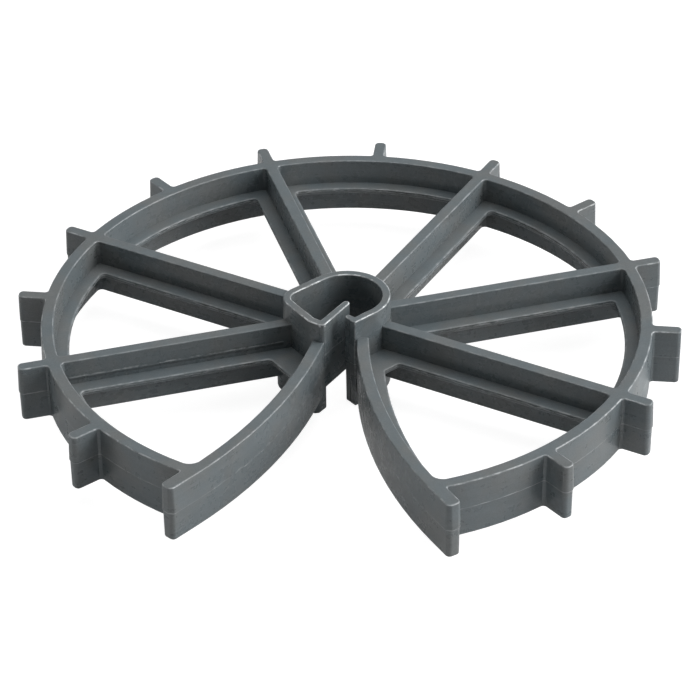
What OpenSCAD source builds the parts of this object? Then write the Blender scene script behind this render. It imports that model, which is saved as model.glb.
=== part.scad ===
// Wheel-form rebar chair, moulded in one piece. A vertical bar is pushed in
// between the two arms, past the springy tongue, and sits in the hub; the
// toothed rim then keeps the bar its cover distance away from the form.
// Origin: on the wheel's axis, at the hub's lower end. +Z is up the axis and
// the mouth opens towards -Y.

/* [Rim] */
// Outside radius of the rim
rim_r = 76.8; // [74:0.1:84]
// Thickness of the rim wall
rim_wall = 3; // [2:0.1:4]
// Height of the rim, the spokes and the arms
web_h = 14.9; // [12:0.1:20]
// Radius of the fillets where spokes meet the rim
rim_fillet = 1.2; // [0.8:0.1:2]
// Radius of the fillets where the arms meet the rim
arm_fillet = 3.2; // [2:0.1:4]

/* [Flange] */
// Thickness of the flange at mid height
flange_t = 1.6; // [1:0.1:3]
// Width of the flange inside the rim wall
flange_rim_w = 3.4; // [2:0.1:5]
// Width of the flange on each side of a spoke
flange_spoke_w = 3.6; // [2:0.1:5]
// Width of the flange on the window side of an arm
flange_arm_w = 3.6; // [2:0.1:5]
// Width of the flange round the hub wall
flange_hub_w = 7.3; // [6:0.1:9]
// Radius of the window corners
window_fillet = 1.5; // [1:0.1:2]

/* [Teeth] */
// Angle from one tooth to the next
tooth_pitch = 22.5; // [21.5:0.1:23]
// How far a tooth stands out of the rim
tooth_reach = 7.2; // [5:0.1:9]
// Thickness of a tooth
tooth_t = 2.9; // [2.4:0.1:4]
// Thickness of the two teeth that end the arms
end_tooth_t = 3.5; // [3:0.1:4]
// How far those two stand out of the rim, along the arm
end_tooth_reach = 7.6; // [5:0.1:9]
// Radius of the upright corners at a tooth's tip
tooth_tip_r = 1.1; // [0.5:0.1:1.2]
// Radius of the fillets at a tooth's root
tooth_fillet = 1; // [0.6:0.1:2]

/* [Spokes and arms] */
// Thickness of a spoke
spoke_t = 3; // [2:0.1:4]
// Thickness of an arm
arm_t = 3; // [2:0.1:4]
// Radius of the curve of an arm's mouth face
arm_bend_r = 124.6; // [120:0.1:140]
// Narrowest distance between the arms' curves
arm_gap = 5.8; // [5:0.1:6.6]
// How far behind the axis the arms' curves are nearest
arm_back = 3; // [2:0.1:4]

/* [Hub] */
// Radius of the bar seat
bar_r = 9.05; // [8.6:0.05:9.4]
// Thickness of the hub wall
hub_wall = 2; // [1.6:0.1:2.4]
// Height of the hub
hub_h = 25.4; // [21:0.1:32]
// Direction of the straight back wall of the pocket
pocket_back_az = 136; // [133:1:138]
// Direction of the straight front wall of the pocket
pocket_front_az = 221.5; // [220:0.5:223]
// Depth of the pocket's front wall beyond the bar seat
pocket_depth = 3.5; // [3:0.1:4]
// Radius inside the pocket's corner
pocket_corner_r = 2.8; // [2:0.1:3.4]
// How much further out the lower half of the hub's front wall lies
pocket_step = 2.4; // [1:0.1:2.6]
// Direction of the straight wall that ends in the lip
lip_wall_az = -43; // [-45:1:-41]

/* [Tongue and lip] */
// Direction in which the tongue points
tongue_az = 62; // [60:1:63]
// Thickness of the tongue at its tip
tongue_t = 1.7; // [1.3:0.1:1.9]
// Thickness of the tongue at its root
tongue_root_t = 2; // [1.9:0.1:2.4]
// Distance of the tongue's pocket face from the axis
tongue_off = 1.2; // [1:0.1:1.4]
// Length of the tongue from its root to its tip
tongue_len = 12.7; // [9:0.1:13]
// Distance of the tongue's root face from the axis, along the tongue
tongue_root = 15.1; // [14.6:0.1:15.6]
// How much further out the root face of the lower half lies
tongue_step = 2.8; // [1:0.1:3]
// Size of the chamfers on the end of the wall that carries the tongue
tongue_chamfer = 0.9; // [0.3:0.1:1]
// Height of the gap under the tongue
tongue_lift = 6.3; // [5:0.1:10]
// Length of the straight wall that carries the lip
lip_wall_len = 6.8; // [6:0.1:7.4]
// Length of the lip beyond its wall
lip_len = 2.3; // [1.5:0.1:2.6]
// Thickness of the lip at its tip
lip_tip_t = 1.4; // [1:0.1:1.6]
// Direction in which the lip points
lip_az = 143; // [140:1:146]

/* [Hidden] */
$fn = 96;
bury = 0.5;             // how far a fillet's corner goes into the walls it joins
seat = 0.2;             // how far inside the hub's outside the arms and the tongue begin
past = 1;               // how far a cut runs past the face that it opens
tuck = 0.02;            // how far faces that would only touch go into each other
arc_steps = 6;          // flats in a fillet
mid_z = hub_h / 2;
rim_in_r = rim_r - rim_wall;
tip_r = rim_r + tooth_reach;
flange_r = rim_in_r - flange_rim_w;
// Teeth and spokes are counted from the back of the wheel.
spoke_slots = [-5, -3, -1, 1, 3, 5];
tooth_slots = [-6 : 6];
window_slots = [-4, -2, 0, 2, 4];
arm_c = [arm_gap / 2 + arm_bend_r, arm_back];
arm_in_r = arm_bend_r - arm_t;
arm_flange_r = arm_in_r - flange_arm_w;
hub_r = bar_r + hub_wall;
spoke_half = spoke_t / 2 + flange_spoke_w;
pocket_d = bar_r + pocket_depth;
tongue_n = tongue_az - 90;
tongue_face = tongue_off + tongue_root_t;
mouth_y = -8;           // the mouth starts in front of this line

// A vector of length r in direction a.
function polar(r, a) = r * [cos(a), sin(a)];
// The direction from p to q.
function azimuth(p, q) = atan2(q[1] - p[1], q[0] - p[0]);
// The point at distance d from the axis along direction a, and s to its left.
function along(a, d, s = 0) = polar(d, a) + polar(s, a + 90);
// The point where two lines meet, each given by its normal's direction and distance.
function meet(a, d, b, e) =
    [d * sin(b) - e * sin(a), e * cos(a) - d * cos(b)] / sin(b - a);
// The point of a line (normal a, distance d) on a circle (centre c, radius r).
function line_circle(a, d, c, r, side) =
    let (off = d - c * polar(1, a))
    c + polar(off, a) + polar(side * sqrt(r * r - off * off), a + 90);
// The point where a circle round the axis meets another circle, to the side given.
function circle_circle(r, c, q, side) =
    let (gap = norm(c), x = (r * r - q * q + gap * gap) / (2 * gap))
    along(azimuth([0, 0], c), x, side * sqrt(r * r - x * x));
// Points on an arc from direction a to direction b, the short way round.
function arc(c, r, a, b) =
    let (turn = b - a - 360 * round((b - a) / 360))
    [for (i = [0 : arc_steps]) c + polar(r, a + turn * i / arc_steps)];
// Points that round the corner k of an outline from p to q.
function rounded(p, k, q, r) =
    let (a = azimuth(k, p), b = azimuth(k, q),
         half = (b - a - 360 * round((b - a) / 360)) / 2,
         c = k + polar(r / abs(sin(half)), a + half),
         side = sign(half))
    arc(c, r, a - side * 90, b + side * 90);

// Fills the corner between two walls with a fillet round centre c, where
// a and b are the directions from c to the two walls.
module gusset(c, r, a, b) {
    turn = b - a - 360 * round((b - a) / 360);
    polygon(concat(arc(c, r + tuck, a, b), [c + polar(r / cos(turn / 2) + bury, a + turn / 2)]));
}

// The two fillets between a radial wall on the Y axis and the inside of a ring.
module inner_fillets(half, r, f) {
    for (s = [-1, 1]) {
        c = [s * (half + f), sqrt(pow(r - f, 2) - pow(half + f, 2))];
        gusset(c, f, s > 0 ? 180 : 0, azimuth([0, 0], c));
    }
}

// The two fillets between a radial wall on the Y axis and the outside of a ring.
module outer_fillets(half, r, f) {
    for (s = [-1, 1]) {
        c = [s * (half + f), sqrt(pow(r + f, 2) - pow(half + f, 2))];
        gusset(c, f, s > 0 ? 180 : 0, azimuth(c, [0, 0]));
    }
}

// A bar with round ends of radii r and q, from p to o.
module capsule(p, r, o, q) {
    a = azimuth(p, o);
    lean = acos((r - q) / norm(o - p));
    polygon(concat(arc(p, r, a + lean, a + 180), arc(p, r, a + 180, a - lean),
                   arc(o, q, a - lean, a), arc(o, q, a, a + lean)));
}

// Everything behind the curves that bound the mouth.
module behind_mouth(r) {
    for (s = [-1, 1])
        translate([s * arm_c[0], arm_c[1]]) circle(r, $fn = 360);
    translate([-tip_r, mouth_y]) square([2 * tip_r, 2 * tip_r]);
}

// The rim wall, open at the mouth.
module rim() {
    intersection() {
        difference() {
            circle(rim_r, $fn = 240);
            circle(rim_in_r, $fn = 240);
        }
        behind_mouth(arm_bend_r);
    }
}

// A tooth along +Y, with rounded tip corners.
module tooth(t, reach) {
    r = tooth_tip_r;
    polygon(concat([[-t / 2, -rim_wall / 2], [t / 2, -rim_wall / 2]],
                   arc([t / 2 - r, reach - r], r, 0, 90),
                   arc([r - t / 2, reach - r], r, 90, 180)));
}

// The ring of teeth with their root fillets, without the two that end the arms.
module teeth() {
    for (i = tooth_slots)
        rotate(i * tooth_pitch) {
            translate([0, rim_r]) tooth(tooth_t, tooth_reach);
            outer_fillets(tooth_t / 2, rim_r, tooth_fillet);
        }
}

// The spokes with their fillets at the rim.
module spokes() {
    for (i = spoke_slots)
        rotate(i * tooth_pitch) {
            translate([-spoke_t / 2, bar_r + hub_wall / 2])
                square([spoke_t, rim_r - rim_wall / 2 - bar_r - hub_wall / 2]);
            inner_fillets(spoke_t / 2, rim_in_r, rim_fillet);
        }
}

// The right arm: a curved wall from the hub to the rim, with its end tooth.
module arm() {
    end = circle_circle(rim_r, arm_c, arm_bend_r, -1);
    out_az = azimuth(arm_c, end) + 90;
    intersection() {
        difference() {
            translate(arm_c) circle(arm_bend_r, $fn = 360);
            translate(arm_c) circle(arm_in_r, $fn = 360);
        }
        circle(rim_r - rim_wall / 2, $fn = 240);
        translate([0, -tip_r]) square([tip_r, tip_r - hub_r + seat]);
    }
    c = circle_circle(rim_in_r - arm_fillet, arm_c, arm_in_r - arm_fillet, -1);
    gusset(c, arm_fillet, azimuth([0, 0], c), azimuth(arm_c, c));
    translate(end) rotate(out_az - 90) translate([-end_tooth_t / 2 - tuck, 0])
        tooth(end_tooth_t, end_tooth_reach);
}

// All upright walls outside the hub.
module webs() {
    rim();
    teeth();
    spokes();
    arm();
    mirror([1, 0]) arm();
}

// A window between two spokes, about the Y axis.
module spoke_window() {
    lean = tooth_pitch;
    inner = hub_r + flange_hub_w;
    apex = spoke_half / sin(lean);
    half = (inner - apex) * tan(lean);
    far = 2 * rim_r;
    wide = (far - apex) * tan(lean);
    a = [-half, inner];
    b = [half, inner];
    q = [wide, far];
    p = [-wide, far];
    intersection() {
        circle(flange_r, $fn = 240);
        polygon(concat(rounded(p, a, b, window_fillet / 2), rounded(a, b, q, window_fillet / 2),
                       [q, p]));
    }
}

// The window between the last spoke on the right and the right arm. az and d
// give the line that keeps it off the hub.
module arm_window(az, d) {
    spoke_az = 90 - 5 * tooth_pitch;
    k = meet(az, d, spoke_az - 90, spoke_half);
    far = 2 * rim_r;
    p = k + polar(far, spoke_az);
    q = k + polar(far, az - 90);
    intersection() {
        circle(flange_r, $fn = 240);
        translate(arm_c) circle(arm_flange_r, $fn = 360);
        polygon(concat([p], rounded(p, k, q, window_fillet), [q, [far, -far]]));
    }
}

// The fillets of that window against the rim and against the arm.
module arm_window_fillets(az, d) {
    f = window_fillet;
    c = circle_circle(flange_r - f, arm_c, arm_flange_r - f, -1);
    gusset(c, f, azimuth([0, 0], c), azimuth(arm_c, c));
    e = line_circle(az, d + f, arm_c, arm_flange_r - f, -1);
    gusset(e, f, az + 180, azimuth(arm_c, e));
}

// The flange at mid height, with its windows.
module flange() {
    right_d = hub_r + flange_hub_w;
    left_az = 180 - pocket_front_az;
    left_d = pocket_d + hub_wall + flange_hub_w;
    difference() {
        intersection() {
            circle(rim_r - rim_wall / 2, $fn = 240);
            behind_mouth(arm_bend_r - bury);
        }
        for (i = window_slots)
            rotate(i * tooth_pitch) spoke_window();
        arm_window(lip_wall_az, right_d);
        mirror([1, 0]) arm_window(left_az, left_d);
    }
    for (i = spoke_slots)
        rotate(i * tooth_pitch) inner_fillets(spoke_half, flange_r, window_fillet);
    arm_window_fillets(lip_wall_az, right_d);
    mirror([1, 0]) arm_window_fillets(left_az, left_d);
}

// The end of the wall that carries the lip, at distance d from the axis.
function lip_corner(d) = along(lip_wall_az, d, -lip_wall_len);

// The left edge of the pocket, w outside its inner face, moved out by step.
function pocket_edge(w, step) =
    let (c = meet(pocket_back_az, bar_r - tuck - pocket_corner_r,
                  pocket_front_az, pocket_d + step - pocket_corner_r))
    concat([polar(bar_r + w - tuck, pocket_back_az)],
           arc(c, pocket_corner_r + w, pocket_back_az, pocket_front_az));

// The throat's left corner, where the tongue's face meets its root face.
function throat_edge(root) =
    [along(tongue_n, tongue_face - tongue_chamfer, -root),
     along(tongue_n, tongue_face, tongue_chamfer - root)];

// The hub's outline, filled. The lower half's front lies further out.
module hub_outline(step, root) {
    bend = meet(pocket_front_az, pocket_d + hub_wall + step, tongue_az + 180, root);
    circle(hub_r, $fn = 120);
    polygon(concat(pocket_edge(hub_wall, step), [bend], throat_edge(root),
                   [throat_edge(tongue_root)[1], lip_corner(hub_r - tuck),
                    polar(hub_r - tuck, lip_wall_az), [0, 0]]));
}

// The hub's hollow: the bar seat, the pocket and the throat to the mouth.
module hub_hollow() {
    wall = tongue_root - hub_wall;
    left = throat_edge(tongue_root)[1];
    right = lip_corner(hub_r - tuck);
    circle(bar_r, $fn = 120);
    polygon(concat(pocket_edge(0, 0),
                   [meet(pocket_front_az, pocket_d, tongue_az + 180, wall),
                    along(tongue_n, tongue_face, -wall), left, left - [0, bar_r],
                    right - [0, bar_r], right, lip_corner(bar_r - tuck),
                    polar(bar_r - tuck, lip_wall_az), [0, 0]]));
}

// What is cut from the throat's left wall under the tongue, to end it in a nose.
module throat_relief() {
    wall = tongue_root - hub_wall;
    out = tongue_face + past;
    polygon([along(tongue_n, tongue_face - tongue_chamfer - past, past - wall),
             along(tongue_n, out, past - wall),
             along(tongue_n, out, -wall - tongue_chamfer - past)]);
}

// The springy tongue that presses on the bar, in plan.
module tongue() {
    r = tongue_root_t / 2;
    q = tongue_t / 2;
    capsule(along(tongue_n, tongue_off + r, r + seat - tongue_root), r,
            along(tongue_n, tongue_off + q, tongue_len - tongue_root - q), q);
}

// The lip that the bar snaps past.
module lip() {
    root = along(lip_wall_az, bar_r + hub_wall / 2, hub_wall / 2 - lip_wall_len);
    capsule(root, hub_wall / 2 - tuck, root + polar(lip_len, lip_az), lip_tip_t / 2);
}

module wheel_chair() {
    color([0.36, 0.39, 0.40]) {
        difference() {
            union() {
                translate([0, 0, mid_z - web_h / 2]) linear_extrude(web_h) webs();
                translate([0, 0, mid_z - flange_t / 2]) linear_extrude(flange_t) flange();
                linear_extrude(mid_z) hub_outline(pocket_step, tongue_root + tongue_step);
                linear_extrude(hub_h) hub_outline(0, tongue_root);
            }
            translate([0, 0, -past]) linear_extrude(hub_h + 2 * past) hub_hollow();
            translate([0, 0, -past]) linear_extrude(tongue_lift + past) throat_relief();
        }
        translate([0, 0, tongue_lift]) linear_extrude(hub_h - tongue_lift) tongue();
        linear_extrude(hub_h) lip();
    }
}

wheel_chair();
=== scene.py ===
"""Looks for the rebar chair: the moulding's fine detail, its plastic, the floor, the light and the camera."""

from math import cos, radians, sin
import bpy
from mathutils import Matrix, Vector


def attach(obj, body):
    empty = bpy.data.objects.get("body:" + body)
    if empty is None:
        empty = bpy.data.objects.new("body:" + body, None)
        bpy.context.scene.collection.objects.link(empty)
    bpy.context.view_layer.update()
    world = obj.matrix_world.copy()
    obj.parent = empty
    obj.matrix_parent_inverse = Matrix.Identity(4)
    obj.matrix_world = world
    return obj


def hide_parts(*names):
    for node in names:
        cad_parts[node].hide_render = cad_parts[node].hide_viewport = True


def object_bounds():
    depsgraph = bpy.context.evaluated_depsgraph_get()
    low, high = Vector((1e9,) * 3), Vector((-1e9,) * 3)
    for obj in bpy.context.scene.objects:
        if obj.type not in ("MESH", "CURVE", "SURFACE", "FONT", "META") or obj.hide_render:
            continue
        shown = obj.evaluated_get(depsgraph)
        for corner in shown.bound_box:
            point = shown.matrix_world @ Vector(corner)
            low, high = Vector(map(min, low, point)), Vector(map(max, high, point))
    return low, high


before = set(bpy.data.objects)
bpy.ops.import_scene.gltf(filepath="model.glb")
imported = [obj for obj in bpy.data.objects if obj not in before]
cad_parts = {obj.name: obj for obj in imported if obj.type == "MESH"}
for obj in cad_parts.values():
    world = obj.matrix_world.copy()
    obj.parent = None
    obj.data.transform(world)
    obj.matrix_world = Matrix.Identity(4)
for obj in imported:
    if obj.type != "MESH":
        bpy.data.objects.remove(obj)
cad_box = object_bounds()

from types import SimpleNamespace

import bmesh
import bpy
from mathutils import Matrix, Vector

MM = 0.001
NODE = "wheel_chair"

# ---- The moulding's fine detail. Lengths are in mm and angles in degrees.

MERGE = 0.03  # points nearer than this are one
DEGENERATE = 0.01
FLAT_ANGLE = 0.6  # facets that turn by less than this are one face
SHARP_ANGLE = 30  # edges sharper than this are rounded
CREASE_ANGLE = 40  # what stays sharper than this after that is shaded as a crease
EDGE_R = 0.34  # rounding of the outward edges
ROOT_R = 0.60  # rounding of the inward edges where the end teeth meet the rim
ROOT_FROM = 72.0  # those lie farther than this from the axis
ROOT_UPRIGHT = 0.9  # and rise by more than this share of their length
SEGMENTS = 3  # flats in a rounding
MID_Z = 12.7  # height of the walls' parting line
# The wall's offset against the height above the parting line. Both halves draw in
# towards their ends, and the upper one stands a little proud at the line.
PROFILE = [
    (-12.7, 0.00),
    (-7.45, 0.02),
    (-0.12, 0.08),
    (-0.02, 0.08),
    (0.02, 0.24),
    (0.25, 0.28),
    (3.00, 0.20),
    (7.45, 0.05),
    (12.7, 0.00),
]
CUTS = (-0.12, -0.02, 0.02, 0.25, 3.00)  # where the faces are cut so that they can follow it
LEVEL_NORMAL = 0.3  # points whose normal lies less level than this aren't moved
# Upright walls: direction, and the least and greatest distance along it and beside it.
TONGUE = (62, -15.4, -1, 0.6, 3.7)
MARKED_WALL = (202.5, 17, 72, -3, -0.6)
TONGUE_OFFSET = 0.05
TONGUE_LINE_Z = 16.2  # the tongue is moulded apart from the walls, so its line is higher
WEB_FOOT = (4.9, 6.0)  # heights between which the walls' lower edges lie
WEB_FOOT_DROP = 0.3

# ---- The plastic. Colours are linear, and a share is how much of a colour is mixed in.

COOL = (0.118, 0.142, 0.153)
WARM = (0.138, 0.147, 0.147)
DARK = (0.085, 0.098, 0.104)
PALE = (0.22, 0.235, 0.24)
# The dark colour below is painted shade for creases along the mould lines; the pale one after it is wear and
# painted highlight for edges and lines.
GROOVE_SHADE = (0.030, 0.034, 0.036)
SCUFF_AND_HIGHLIGHT = (0.72, 0.75, 0.76)

# Noise cells per metre along x, y and z, then the noise's detail and roughness.
NOISES = {
    "clouds": ((70, 70, 70), 3, 0.6),
    "mottle": ((300, 300, 300), 3, 0.6),
    "grain": ((2600, 2600, 2600), 1, 0.55),
    "runs": ((35, 35, 900), 2, 0.6),
    "striae": ((1100, 1100, 45), 2, 0.6),
    "flecks": ((300, 300, 900), 3, 0.7),
}
UPRIGHT = (0.3, 0.8)  # how much a face's normal rises, from upright faces to flat ones
HUB_OUTSIDE = 15.5
RIM_OUTSIDE = 75.5

CLOUD_RANGE = (0.38, 0.64)
MOTTLE_RANGE = (0.35, 0.80)
MOTTLE_SHARE = 0.16
GRAIN_RANGE = (0.35, 0.65)
GRAIN_SHARE = 0.35
STREAK_RANGE = (0.35, 0.80)
STREAK_SHARE = 0.14

# Edges are painted pale in flecks, partly as wear and partly as a painted highlight on the roundings. The
# rim's outside and the hub's top get more than the rest, and on the hub's top it is mostly a painted glint.
RUBBED_AND_HIGHLIT_SHARE = 0.20
RUBBED_AND_HIGHLIT_RIM = 0.25
RUBBED_AND_HIGHLIT_HUB = 0.70
HUB_TOP = (24.4, 24.8)
RUBBED_AND_HIGHLIT_HEIGHTS = (6, 9)  # below these the edges get less wear and painted highlight
RUBBED_AND_HIGHLIT_LOW = 0.3
RUBBED_AND_HIGHLIT_FLECKS = (0.45, 0.60, 0.20, 1)

# The parting line ripples, but less on the rim's outside.
RIPPLE = 2.0
RIM_CALM = 0.7
# Bands of colour: height, how far they fade out on each side, and share.
# The pale band is a painted highlight on the parting line's ridge, and the dark band is painted shade just
# above it.
PARTING_HIGHLIGHT = (MID_Z + 0.1, 0.28, 0.36)
PARTING_SHADE = (MID_Z + 0.55, 0.25, 0.60)
PARTING_FLECKS = (0.42, 0.60, 0.25, 1)
PARTING_SHADE_CLOUDS = (0.45, 0.60)
# A jagged witness line runs along one side of one spoke, painted as a dark band of shade with pale flecks of
# painted highlight above.
MARK_JAGS = 0.9
MARK_SHADE_UNDER = (14.4, 0.55, 0.55)
MARK_HIGHLIGHT_OVER = (15.0, 0.30, 0.50)
MARK_FLECKS = (0.42, 0.60, 0.15, 1)

ROUGHNESS = (0.3, 0.7, 0.22, 0.34)  # the mottle's range, and the roughness there
STREAK_ROUGHNESS = 0.05
STRIAE_ROUGHNESS = 0.06
FLAT_ROUGHNESS = 0.12
RELIEF = {"striae": 0.014, "runs": 0.003, "mottle": 0.012, "grain": 0.004, "clouds": 0.10}

# ---- The studio, in metres and watts.

FLOOR_HALF = 8.0
FLOOR_COLOUR = 0.30
FLOOR_BOUNCE = 0.36  # how much paler the floor is where the object mirrors it or is lit by it
FLOOR_GLOW = 0.92
MIRRORED_GLOW = 0.10
WORLD_STRENGTH = 0.0
# Square lamps that face the origin: place, size and power.
LAMPS = {
    "top_box": ((0.1, 0.3, 1.6), 1.6, 17.5),
    "right_box": ((1.6, 0.1, 0.8), 1.4, 41),
    "back_box": ((0.1, 1.6, 0.9), 1.4, 2),
    "left_low": ((-1.7, 0.0, 0.35), 1.0, 8),
    "front_low": ((0.1, -1.7, 0.35), 1.0, 2),
}

# The camera, in mm and pixels of the 700 x 700 picture.
CAMERA_AT = (74.174, -620.884, 438.458)
CAMERA_RIGHT = Vector((0.99382618, 0.11061072, -0.00864849))
CAMERA_DOWN = Vector((0.05531813, -0.56157814, -0.82557247))
FOCAL_PX = 2986.76
CENTRE_PX = (352.35, 341.06)
PICTURE_PX = 700
SENSOR_MM = 36
CLIP = (0.01, 50)


# ---- Shape


def offset_at(z):
    """The wall's offset in mm at height z, in mm above the parting line."""
    for (z0, d0), (z1, d1) in zip(PROFILE, PROFILE[1:]):
        if z <= z1:
            return d0 + (d1 - d0) * max(0.0, z - z0) / (z1 - z0)
    return PROFILE[-1][1]


def in_wall(x, y, wall):
    """Whether the point, in mm, lies in the upright wall."""
    az, along_low, along_high, out_low, out_high = wall
    c, s = cos(radians(az)), sin(radians(az))
    return along_low < x * c + y * s < along_high and out_low < x * s - y * c < out_high


def welded(source):
    """The CAD mesh as one net of flat faces, with a layer that marks where edges get wear and painted
    highlight.
    """
    bm = bmesh.new()
    bm.from_mesh(source.data)
    bm.verts.layers.float.new("edge")
    bmesh.ops.remove_doubles(bm, verts=bm.verts, dist=MERGE * MM)
    bmesh.ops.dissolve_degenerate(bm, edges=bm.edges, dist=DEGENERATE * MM)
    bmesh.ops.dissolve_limit(bm, angle_limit=radians(FLAT_ANGLE), verts=bm.verts, edges=bm.edges)
    return bm


def is_sharp(edge):
    return edge.is_manifold and edge.calc_face_angle(0) > radians(SHARP_ANGLE)


def is_root(edge):
    """Whether an end tooth meets the rim along this edge."""
    rise = abs(edge.verts[0].co.z - edge.verts[1].co.z)
    outside = min(v.co.xy.length for v in edge.verts) > ROOT_FROM * MM
    return not edge.is_convex and outside and rise > ROOT_UPRIGHT * edge.calc_length()


def round_off(bm, edges, radius):
    """Round these edges, and return what that made."""
    return bmesh.ops.bevel(
        bm,
        geom=edges,
        offset=radius * MM,
        offset_type="OFFSET",
        segments=SEGMENTS,
        profile=0.5,
        affect="EDGES",
        clamp_overlap=False,
        loop_slide=True,
    )


def mark_worn_and_highlit(bm, rounding):
    """Mark the points amid the roundings, where the edges get wear and painted highlight."""
    edge = bm.verts.layers.float["edge"]
    new = set(rounding["faces"])
    for v in rounding["verts"]:
        if all(f in new for f in v.link_faces):
            v[edge] = 1.0


def cut_level(bm, z):
    """Cut every face at height z."""
    everything = bm.verts[:] + bm.edges[:] + bm.faces[:]
    bmesh.ops.bisect_plane(bm, geom=everything, plane_co=(0, 0, z * MM), plane_no=(0, 0, 1))


def follow_profile(bm):
    """Move the walls' points out by the profile, but not out of the CAD box."""
    bm.normal_update()
    low, high = cad_box
    for v in bm.verts:
        level = Vector((v.normal.x, v.normal.y, 0))
        if level.length > LEVEL_NORMAL:
            x, y, z = v.co / MM
            out = TONGUE_OFFSET if in_wall(x, y, TONGUE) else offset_at(z - MID_Z)
            move = level.normalized() * out * MM
            v.co.x = min(max(v.co.x + move.x, low[0]), high[0])
            v.co.y = min(max(v.co.y + move.y, low[1]), high[1])


def lower_feet(bm):
    """Let the walls reach a little lower."""
    for v in bm.verts:
        if WEB_FOOT[0] < v.co.z / MM < WEB_FOOT[1]:
            v.co.z -= WEB_FOOT_DROP * MM


def shade(bm):
    """Shade all faces smooth, with creases where they stay sharp."""
    bm.normal_update()
    for f in bm.faces:
        f.smooth = True
    for e in bm.edges:
        e.smooth = e.calc_face_angle(0) < radians(CREASE_ANGLE)


def dressed_copy(source, name):
    """A copy of the CAD mesh with rounded edges and a parting line."""
    bm = welded(source)
    round_off(bm, [e for e in bm.edges if is_sharp(e) and is_root(e)], ROOT_R)
    rounding = round_off(bm, [e for e in bm.edges if is_sharp(e) and e.is_convex], EDGE_R)
    mark_worn_and_highlit(bm, rounding)
    for z in CUTS:
        cut_level(bm, MID_Z + z)
    follow_profile(bm)
    lower_feet(bm)
    shade(bm)
    mesh = bpy.data.meshes.new(name)
    bm.to_mesh(mesh)
    bm.free()
    piece = bpy.data.objects.new(name, mesh)
    bpy.context.scene.collection.objects.link(piece)
    weighted = piece.modifiers.new("weighted_normals", "WEIGHTED_NORMAL")
    weighted.keep_sharp = True
    weighted.mode = "FACE_AREA"
    return piece


# ---- Shader nodes


def add_node(tree, kind, values=(), **settings):
    """A shader node with its settings, and its inputs' values by name or number."""
    node = tree.nodes.new(kind)
    for key, value in settings.items():
        setattr(node, key, value)
    for key, value in dict(values).items():
        node.inputs[key].default_value = value
    return node


def maths(tree, operation, a, b=0):
    """A Math node of two inputs, each a socket or a number."""
    node = add_node(tree, "ShaderNodeMath", operation=operation)
    for i, value in enumerate((a, b)):
        if isinstance(value, (int, float)):
            node.inputs[i].default_value = value
        else:
            tree.links.new(value, node.inputs[i])
    return node.outputs[0]


def chained(tree, operation, first, *others):
    for other in others:
        first = maths(tree, operation, first, other)
    return first


def product(tree, *values):
    return chained(tree, "MULTIPLY", *values)


def total(tree, *values):
    return chained(tree, "ADD", *values)


def less(tree, *values):
    """The first value less all the others."""
    return chained(tree, "SUBTRACT", *values)


def stretched_noise(tree, where, cells, detail, rough):
    """Noise with this many cells per metre along each axis."""
    fit = add_node(tree, "ShaderNodeMapping", {"Scale": cells})
    values = {"Scale": 1.0, "Detail": detail, "Roughness": rough}
    noise = add_node(tree, "ShaderNodeTexNoise", values)
    tree.links.new(where, fit.inputs["Vector"])
    tree.links.new(fit.outputs[0], noise.inputs["Vector"])
    return noise.outputs["Fac"]


def ranged(tree, value, low, high, to_low=0.0, to_high=1.0):
    """value from low..high mapped smoothly to to_low..to_high, and kept inside."""
    node = add_node(
        tree,
        "ShaderNodeMapRange",
        {"From Min": low, "From Max": high, "To Min": to_low, "To Max": to_high},
        interpolation_type="SMOOTHSTEP",
    )
    tree.links.new(value, node.inputs["Value"])
    return node.outputs["Result"]


def mixed(tree, factor, a, b):
    """A colour between a and b, each a socket or a colour."""
    node = add_node(tree, "ShaderNodeMix", data_type="RGBA")
    tree.links.new(factor, node.inputs["Factor"])
    for i, value in ((6, a), (7, b)):
        if isinstance(value, tuple):
            node.inputs[i].default_value = (*value, 1)
        else:
            tree.links.new(value, node.inputs[i])
    return node.outputs[2]


def band(tree, height, z, half):
    """1 at height z, falling to 0 at half away from it, in mm."""
    away = maths(tree, "ABSOLUTE", less(tree, height, z * MM))
    return ranged(tree, away, 0, half * MM, 1, 0)


def between(tree, value, low, high):
    """1 where value, in metres, lies between low and high, in mm."""
    above = maths(tree, "GREATER_THAN", value, low * MM)
    return product(tree, above, maths(tree, "LESS_THAN", value, high * MM))


def wall_mask(tree, x, y, wall):
    """1 in the upright wall, as in_wall says."""
    az, along_low, along_high, out_low, out_high = wall
    c, s = cos(radians(az)), sin(radians(az))
    along = total(tree, product(tree, x, c), product(tree, y, s))
    out = less(tree, product(tree, x, s), product(tree, y, c))
    near = between(tree, along, along_low, along_high)
    return product(tree, near, between(tree, out, out_low, out_high))


# ---- The plastic


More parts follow.
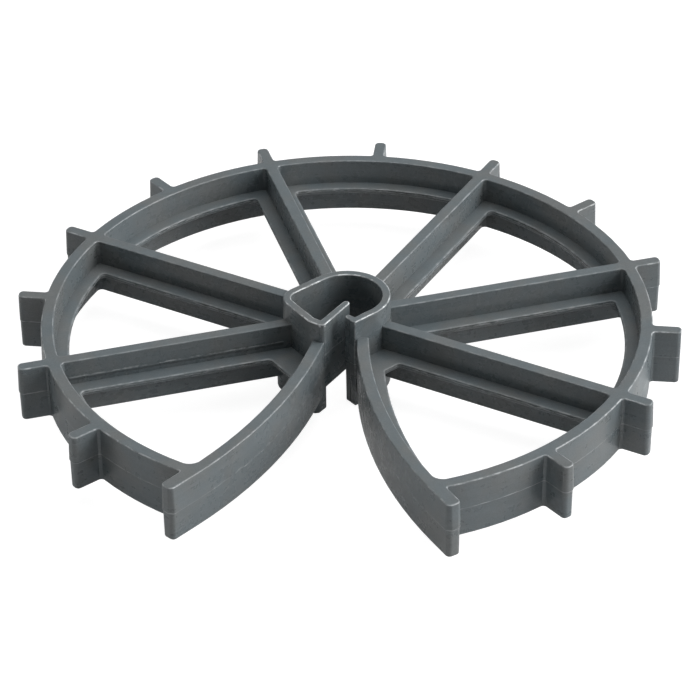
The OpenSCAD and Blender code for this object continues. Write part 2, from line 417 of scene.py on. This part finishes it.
def surface(t):
    """What the plastic varies with: the place, the way the face looks, and the noises there."""
    where = add_node(t, "ShaderNodeTexCoord").outputs["Object"]
    place = add_node(t, "ShaderNodeSeparateXYZ")
    t.links.new(where, place.inputs[0])
    facing = add_node(t, "ShaderNodeSeparateXYZ")
    t.links.new(add_node(t, "ShaderNodeNewGeometry").outputs["True Normal"], facing.inputs[0])
    s = SimpleNamespace(x=place.outputs["X"], y=place.outputs["Y"], height=place.outputs["Z"])
    s.upright = ranged(t, maths(t, "ABSOLUTE", facing.outputs["Z"]), *UPRIGHT, 1, 0)
    around = total(t, product(t, s.x, s.x), product(t, s.y, s.y))
    s.rim = maths(t, "GREATER_THAN", around, (RIM_OUTSIDE * MM) ** 2)
    s.hub = maths(t, "LESS_THAN", around, (HUB_OUTSIDE * MM) ** 2)
    for name, (cells, detail, rough) in NOISES.items():
        setattr(s, name, stretched_noise(t, where, cells, detail, rough))
    s.striae = product(t, s.striae, s.upright, s.rim)
    s.streak = product(t, ranged(t, s.runs, *STREAK_RANGE), s.upright)
    return s


def body_colour(t, s):
    """Cool and warm clouds, pale mottle, dark grain and pale flow marks."""
    colour = mixed(t, ranged(t, s.clouds, *CLOUD_RANGE), COOL, WARM)
    colour = mixed(t, product(t, ranged(t, s.mottle, *MOTTLE_RANGE), MOTTLE_SHARE), colour, PALE)
    colour = mixed(t, product(t, ranged(t, s.grain, *GRAIN_RANGE), GRAIN_SHARE), colour, DARK)
    return mixed(t, product(t, s.streak, STREAK_SHARE), colour, PALE)


def rubbed_and_highlit_edges(t, s, colour):
    """The colour with its rounded edges painted pale: partly wear, partly a painted highlight that stands in
    for the glint on the roundings.
    """
    edge = add_node(t, "ShaderNodeAttribute", attribute_name="edge").outputs["Fac"]
    low, high = RUBBED_AND_HIGHLIT_HEIGHTS
    edge = product(t, edge, ranged(t, s.height, low * MM, high * MM, RUBBED_AND_HIGHLIT_LOW, 1))
    worn_and_highlit = product(t, edge, ranged(t, s.flecks, *RUBBED_AND_HIGHLIT_FLECKS))
    low, high = HUB_TOP
    hub_top = product(t, s.hub, ranged(t, s.height, low * MM, high * MM))
    share = total(t, product(t, s.rim, RUBBED_AND_HIGHLIT_RIM), RUBBED_AND_HIGHLIT_SHARE, product(t, hub_top, RUBBED_AND_HIGHLIT_HUB))
    return mixed(t, product(t, worn_and_highlit, share), colour, SCUFF_AND_HIGHLIGHT)


def parting_line(t, s, colour):
    """The colour with a painted highlight on the line where the mould's halves met, and a band of painted
    shade above it, off the rim.
    """
    calm = less(t, 1.0, product(t, s.rim, RIM_CALM))
    ripple = product(t, less(t, s.mottle, 0.5), calm, RIPPLE * MM)
    tongue = wall_mask(t, s.x, s.y, TONGUE)
    level = less(t, s.height, ripple, product(t, tongue, (TONGUE_LINE_Z - MID_Z) * MM))
    z, half, share = PARTING_HIGHLIGHT
    line = product(t, band(t, level, z, half), s.upright, ranged(t, s.flecks, *PARTING_FLECKS))
    colour = mixed(t, product(t, line, share), colour, SCUFF_AND_HIGHLIGHT)
    z, half, share = PARTING_SHADE
    groove_shade = product(t, band(t, level, z, half), s.upright, ranged(t, s.clouds, *PARTING_SHADE_CLOUDS))
    return mixed(t, product(t, groove_shade, less(t, 1.0, s.rim), share), colour, GROOVE_SHADE)


def witness_line(t, s, colour):
    """The colour with the jagged line on one spoke, painted as shade under it and highlight flecks on top."""
    marked = wall_mask(t, s.x, s.y, MARKED_WALL)
    jagged = less(t, s.height, product(t, s.flecks, MARK_JAGS * MM))
    z, half, share = MARK_SHADE_UNDER
    colour = mixed(t, product(t, band(t, jagged, z, half), marked, share), colour, GROOVE_SHADE)
    z, half, share = MARK_HIGHLIGHT_OVER
    highlight_on_top = product(t, band(t, jagged, z, half), marked, ranged(t, s.flecks, *MARK_FLECKS))
    return mixed(t, product(t, highlight_on_top, share), colour, SCUFF_AND_HIGHLIGHT)


def roughness(t, s):
    """Semi-gloss, duller on flow marks, polishing lines and flat faces."""
    return total(
        t,
        ranged(t, s.mottle, *ROUGHNESS),
        product(t, s.streak, STREAK_ROUGHNESS),
        product(t, s.striae, STRIAE_ROUGHNESS),
        product(t, less(t, 1.0, s.upright), FLAT_ROUGHNESS),
    )


def relief(t, s):
    """The surface's height in metres."""
    return total(t, *(product(t, getattr(s, name), high * MM) for name, high in RELIEF.items()))


def plastic():
    """Semi-gloss dark slate-grey plastic with flow marks, polishing lines, mould lines painted with shade and
    highlight, and edges painted pale with wear and highlight.
    """
    m = bpy.data.materials.new("slate_plastic")
    m.use_nodes = True
    t = m.node_tree
    bsdf = t.nodes["Principled BSDF"]
    s = surface(t)
    colour = witness_line(t, s, parting_line(t, s, rubbed_and_highlit_edges(t, s, body_colour(t, s))))
    t.links.new(colour, bsdf.inputs["Base Color"])
    t.links.new(roughness(t, s), bsdf.inputs["Roughness"])
    bump = add_node(t, "ShaderNodeBump", {"Strength": 1.0, "Distance": 1.0})
    t.links.new(relief(t, s), bump.inputs["Height"])
    t.links.new(bump.outputs[0], bsdf.inputs["Normal"])
    return m


# ---- The studio


def floor_material():
    """Pale paper that shows white to the camera and bounces the lamps' light back to the object."""
    m = bpy.data.materials.new("floor")
    m.use_nodes = True
    t = m.node_tree
    t.nodes.remove(t.nodes["Principled BSDF"])
    diffuse = add_node(t, "ShaderNodeBsdfDiffuse")
    glow = add_node(t, "ShaderNodeEmission")
    both = add_node(t, "ShaderNodeAddShader")
    path = add_node(t, "ShaderNodeLightPath").outputs
    camera = path["Is Camera Ray"]
    colour = total(t, product(t, less(t, 1.0, camera), FLOOR_BOUNCE), FLOOR_COLOUR)
    t.links.new(colour, diffuse.inputs["Color"])
    mirrored = maths(t, "MAXIMUM", path["Is Glossy Ray"], path["Is Transmission Ray"])
    mirrored = product(t, mirrored, MIRRORED_GLOW)
    seen = maths(t, "MAXIMUM", product(t, camera, FLOOR_GLOW), mirrored)
    t.links.new(seen, glow.inputs["Strength"])
    t.links.new(diffuse.outputs[0], both.inputs[0])
    t.links.new(glow.outputs[0], both.inputs[1])
    t.links.new(both.outputs[0], t.nodes["Material Output"].inputs["Surface"])
    return m


def add_floor():
    """A pale floor with the object's shadow on it."""
    mesh = bpy.data.meshes.new("floor")
    r = FLOOR_HALF
    mesh.from_pydata([(-r, -r, 0), (r, -r, 0), (r, r, 0), (-r, r, 0)], [], [(0, 1, 2, 3)])
    mesh.materials.append(floor_material())
    floor = bpy.data.objects.new("floor", mesh)
    bpy.context.scene.collection.objects.link(floor)


def add_lamp(name, at, size, power):
    """A soft square lamp that faces the origin."""
    light = bpy.data.lights.new(name, "AREA")
    light.shape = "SQUARE"
    light.size = size
    light.energy = power
    o = bpy.data.objects.new(name, light)
    o.location = at
    o.rotation_euler = (-Vector(at)).to_track_quat("-Z", "Y").to_euler()
    bpy.context.scene.collection.objects.link(o)


def add_world():
    """A plain dark surround; the camera sees the floor alone."""
    w = bpy.data.worlds.new("studio")
    bpy.context.scene.world = w
    w.use_nodes = True
    background = w.node_tree.nodes["Background"]
    background.inputs["Color"].default_value = (1, 1, 1, 1)
    background.inputs["Strength"].default_value = WORLD_STRENGTH


def add_camera():
    """The photo's camera."""
    cam = bpy.data.cameras.new("camera")
    cam.sensor_width = SENSOR_MM
    cam.lens = FOCAL_PX / PICTURE_PX * SENSOR_MM
    cam.shift_x = (PICTURE_PX / 2 - CENTRE_PX[0]) / PICTURE_PX
    cam.shift_y = (CENTRE_PX[1] - PICTURE_PX / 2) / PICTURE_PX
    cam.clip_start, cam.clip_end = CLIP
    o = bpy.data.objects.new("camera", cam)
    up = -CAMERA_DOWN
    back = CAMERA_RIGHT.cross(up)
    turn = Matrix((CAMERA_RIGHT, up, back)).transposed()
    o.matrix_world = Matrix.Translation(Vector(CAMERA_AT) * MM) @ turn.to_4x4()
    bpy.context.scene.collection.objects.link(o)
    bpy.context.scene.camera = o


chair = dressed_copy(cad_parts[NODE], "chair_moulding")
chair.data.materials.append(plastic())
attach(chair, "root")
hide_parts(NODE)

add_floor()
add_world()
for name, (at, size, power) in LAMPS.items():
    add_lamp(name, at, size, power)
add_camera()
bpy.context.scene.view_settings.view_transform = "Standard"
